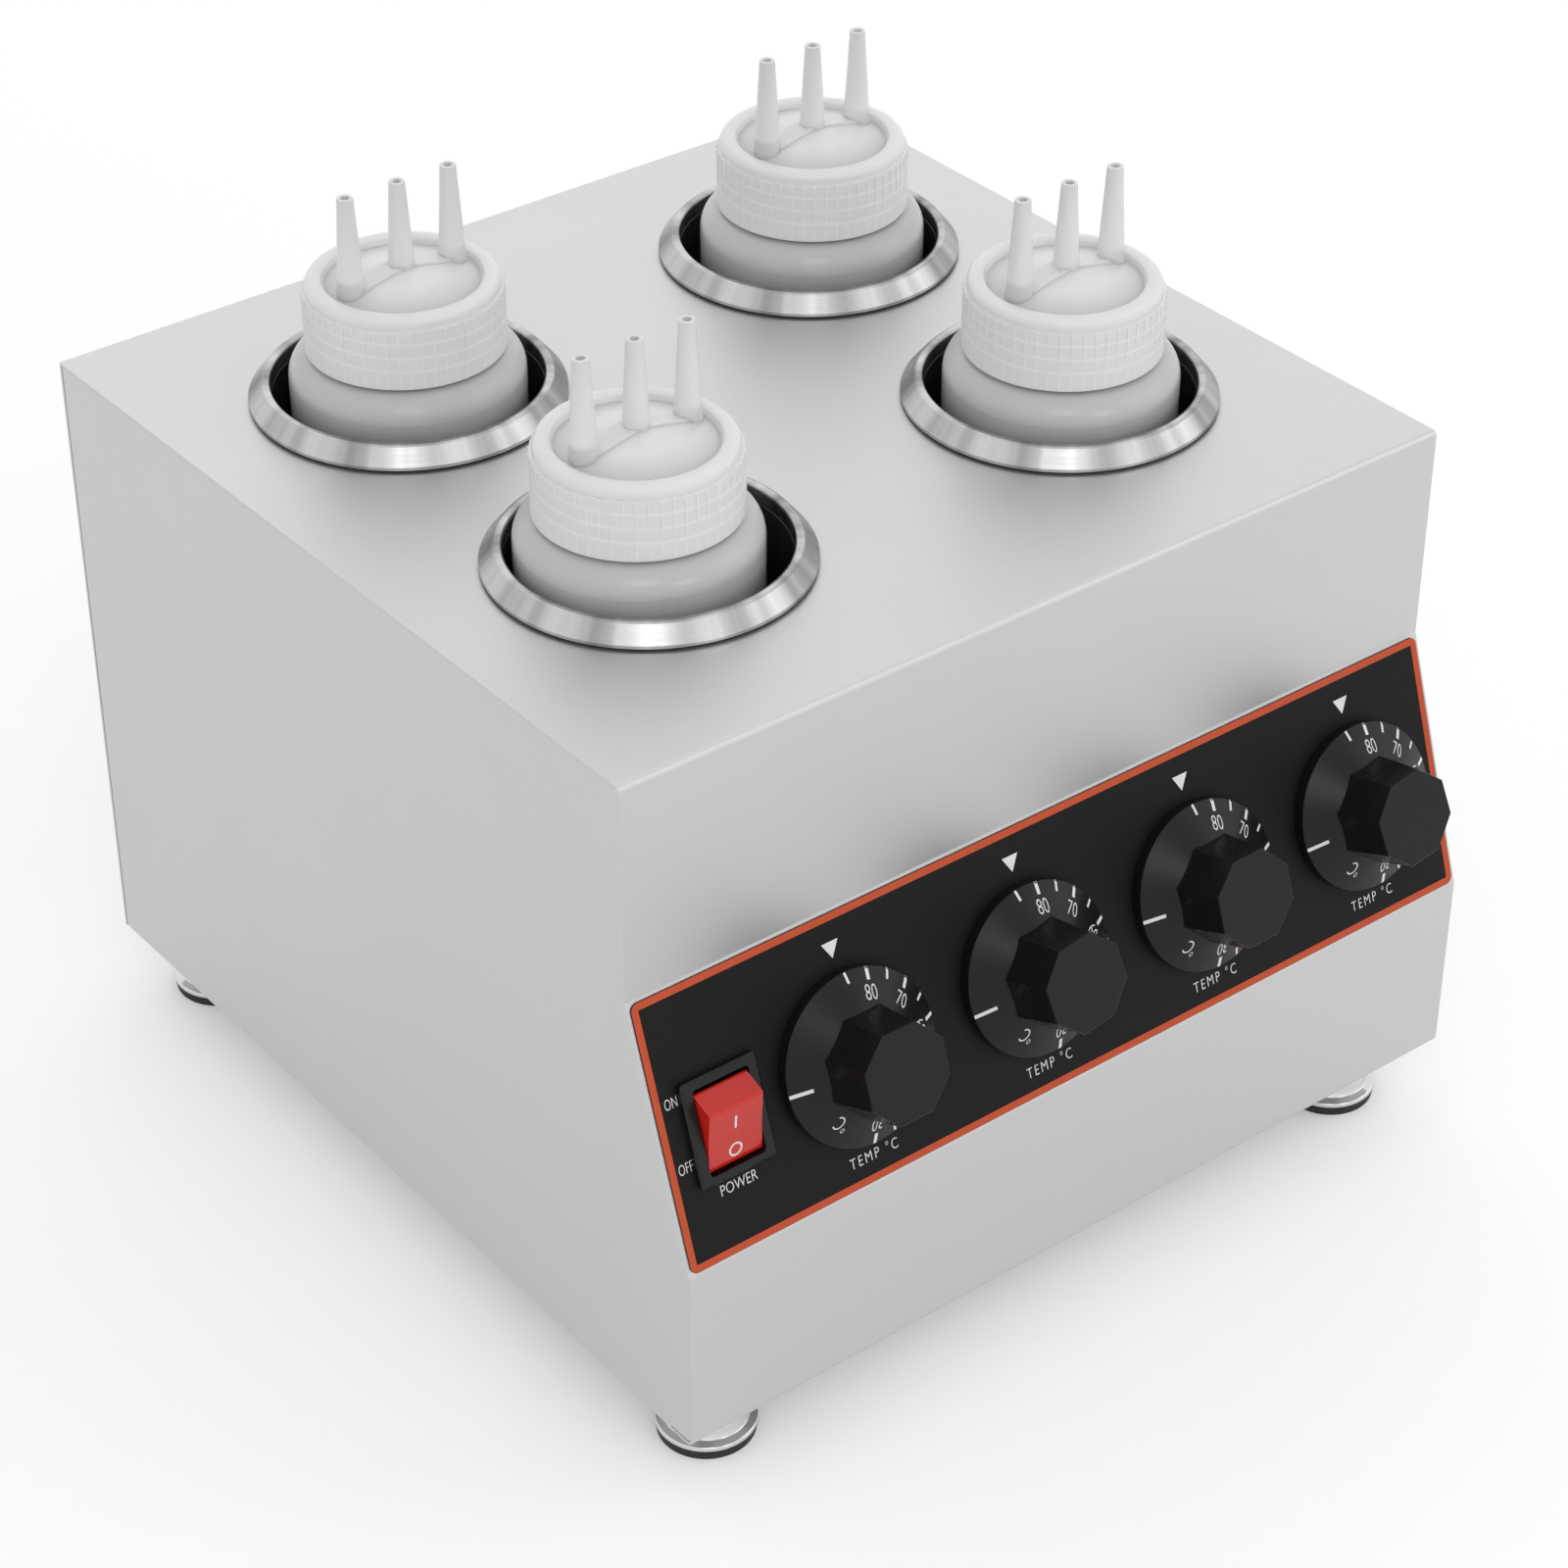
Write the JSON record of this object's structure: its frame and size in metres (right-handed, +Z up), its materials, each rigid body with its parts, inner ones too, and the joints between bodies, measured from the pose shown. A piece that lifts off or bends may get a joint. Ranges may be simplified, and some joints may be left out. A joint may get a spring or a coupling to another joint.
{
  "type": "topping warmer",
  "caption": "Countertop stainless warmer with heated wells for squeeze bottles, a dial for each well and a rocker switch.",
  "frame": {"origin": "centre of the whole object's footprint box, on the surface the feet stand on", "axes": "+X to the right seen from the controls, -Y towards the controls, +Z up"},
  "size_m": [0.3, 0.351, 0.3064],
  "materials": {
    "bottle_plastic": "translucent polyethylene, empty",
    "cap_plastic": "translucent polypropylene",
    "connector_ceramic": "unglazed ceramic",
    "dial_plastic": "satin black phenolic",
    "foot_metal": "polished pressing",
    "gasket_rubber": "black silicone",
    "gland_nylon": "moulded nylon",
    "heater_steel": "plain steel jacket",
    "overlay_film": "printed polycarbonate film, fine matt grain",
    "pad_rubber": "black rubber",
    "ring_steel": "turned and brushed round the ring",
    "rocker_red": "tinted translucent",
    "shaft_steel": "plated",
    "stainless_base": "mill finish",
    "stainless_casing": "satin, very fine brushing",
    "switch_black": "satin nylon",
    "thermostat_case": "phenolic and plated steel",
    "well_cup_dark": "dark hard-anodised",
    "zinc_fasteners": "zinc plated"
  },
  "bodies": {
    "warmer": {"base_plate": "stainless_base", "control_overlay": "overlay_film", "cord_gland": "gland_nylon", "foot_cup_back_left": "foot_metal", "foot_cup_back_right": "foot_metal", "foot_cup_front_left": "foot_metal", "foot_cup_front_right": "foot_metal", "foot_nuts": "zinc_fasteners", "foot_pad_back_left": "pad_rubber", "foot_pad_back_right": "pad_rubber", "foot_pad_front_left": "pad_rubber", "foot_pad_front_right": "pad_rubber", "foot_screws": "zinc_fasteners", "front_top_wrap": "stainless_casing", "gland_locknut": "gland_nylon", "heater_band_back_left": "heater_steel", "heater_band_back_right": "heater_steel", "heater_band_front_left": "heater_steel", "heater_band_front_right": "heater_steel", "heater_clamp_screws": "zinc_fasteners", "left_side_panel": "stainless_casing", "pan_head_screws": "zinc_fasteners", "rear_panel": "stainless_casing", "right_side_panel": "stainless_casing", "ring_gasket_back_left": "gasket_rubber", "ring_gasket_back_right": "gasket_rubber", "ring_gasket_front_left": "gasket_rubber", "ring_gasket_front_right": "gasket_rubber", "switch_body": "switch_black", "terminal_block": "connector_ceramic", "thermostat_back_left": "thermostat_case", "thermostat_back_right": "thermostat_case", "thermostat_front_left": "thermostat_case", "thermostat_front_right": "thermostat_case", "trim_ring_back_left": "ring_steel", "trim_ring_back_right": "ring_steel", "trim_ring_front_left": "ring_steel", "trim_ring_front_right": "ring_steel", "well_cup_back_left": "well_cup_dark", "well_cup_back_right": "well_cup_dark", "well_cup_front_left": "well_cup_dark", "well_cup_front_right": "well_cup_dark"},
    "dial_front_left": {"dial_knob_front_left": "dial_plastic", "thermostat_shaft_front_left": "shaft_steel"},
    "dial_back_left": {"dial_knob_back_left": "dial_plastic", "thermostat_shaft_back_left": "shaft_steel"},
    "dial_back_right": {"dial_knob_back_right": "dial_plastic", "thermostat_shaft_back_right": "shaft_steel"},
    "dial_front_right": {"dial_knob_front_right": "dial_plastic", "thermostat_shaft_front_right": "shaft_steel"},
    "power_rocker": {"switch_rocker": "rocker_red"},
    "squeeze_bottle_front_left": {"bottle_front_left": "bottle_plastic"},
    "screw_cap_front_left": {"bottle_cap_front_left": "cap_plastic"},
    "squeeze_bottle_front_right": {"bottle_front_right": "bottle_plastic"},
    "screw_cap_front_right": {"bottle_cap_front_right": "cap_plastic"},
    "squeeze_bottle_back_left": {"bottle_back_left": "bottle_plastic"},
    "screw_cap_back_left": {"bottle_cap_back_left": "cap_plastic"},
    "squeeze_bottle_back_right": {"bottle_back_right": "bottle_plastic"},
    "screw_cap_back_right": {"bottle_cap_back_right": "cap_plastic"}
  },
  "joints": [
    {"name": "dial_turn_front_left", "type": "hinge", "parent": "warmer", "child": "dial_front_left", "pos_m": [-0.0825, -0.14655, 0.12419], "axis": [0, -0.9476, 0.3194], "range_deg": [0, 267]},
    {"name": "dial_turn_back_left", "type": "hinge", "parent": "warmer", "child": "dial_back_left", "pos_m": [-0.0166, -0.14655, 0.12419], "axis": [0, -0.9476, 0.3194], "range_deg": [-7.5, 259.5]},
    {"name": "dial_turn_back_right", "type": "hinge", "parent": "warmer", "child": "dial_back_right", "pos_m": [0.0493, -0.14655, 0.12419], "axis": [0, -0.9476, 0.3194], "range_deg": [-1, 266]},
    {"name": "dial_turn_front_right", "type": "hinge", "parent": "warmer", "child": "dial_front_right", "pos_m": [0.1152, -0.14655, 0.12419], "axis": [0, -0.9476, 0.3194], "range_deg": [-7.5, 259.5]},
    {"name": "rocker_tilt", "type": "hinge", "parent": "warmer", "child": "power_rocker", "pos_m": [-0.1279, -0.14343, 0.12282], "axis": [-1, 0, 0], "range_deg": [0, 40]},
    {"name": "bottle_lift_front_left", "type": "slide", "parent": "warmer", "child": "squeeze_bottle_front_left", "axis": [0, 0, 1], "range_m": [0, 0.19]},
    {"name": "cap_unscrew_front_left", "type": "hinge", "parent": "squeeze_bottle_front_left", "child": "screw_cap_front_left", "pos_m": [-0.0789, -0.04523, 0.2526], "axis": [0, 0, 1], "range_deg": [0, 540]},
    {"name": "bottle_lift_front_right", "type": "slide", "parent": "warmer", "child": "squeeze_bottle_front_right", "axis": [0, 0, 1], "range_m": [0, 0.19]},
    {"name": "cap_unscrew_front_right", "type": "hinge", "parent": "squeeze_bottle_front_right", "child": "screw_cap_front_right", "pos_m": [0.0768, -0.04693, 0.2526], "axis": [0, 0, 1], "range_deg": [0, 540]},
    {"name": "bottle_lift_back_left", "type": "slide", "parent": "warmer", "child": "squeeze_bottle_back_left", "axis": [0, 0, 1], "range_m": [0, 0.19]},
    {"name": "cap_unscrew_back_left", "type": "hinge", "parent": "squeeze_bottle_back_left", "child": "screw_cap_back_left", "pos_m": [-0.0766, 0.07457, 0.2526], "axis": [0, 0, 1], "range_deg": [0, 540]},
    {"name": "bottle_lift_back_right", "type": "slide", "parent": "warmer", "child": "squeeze_bottle_back_right", "axis": [0, 0, 1], "range_m": [0, 0.19]},
    {"name": "cap_unscrew_back_right", "type": "hinge", "parent": "squeeze_bottle_back_right", "child": "screw_cap_back_right", "pos_m": [0.0775, 0.07407, 0.2526], "axis": [0, 0, 1], "range_deg": [0, 540]}
  ]
}
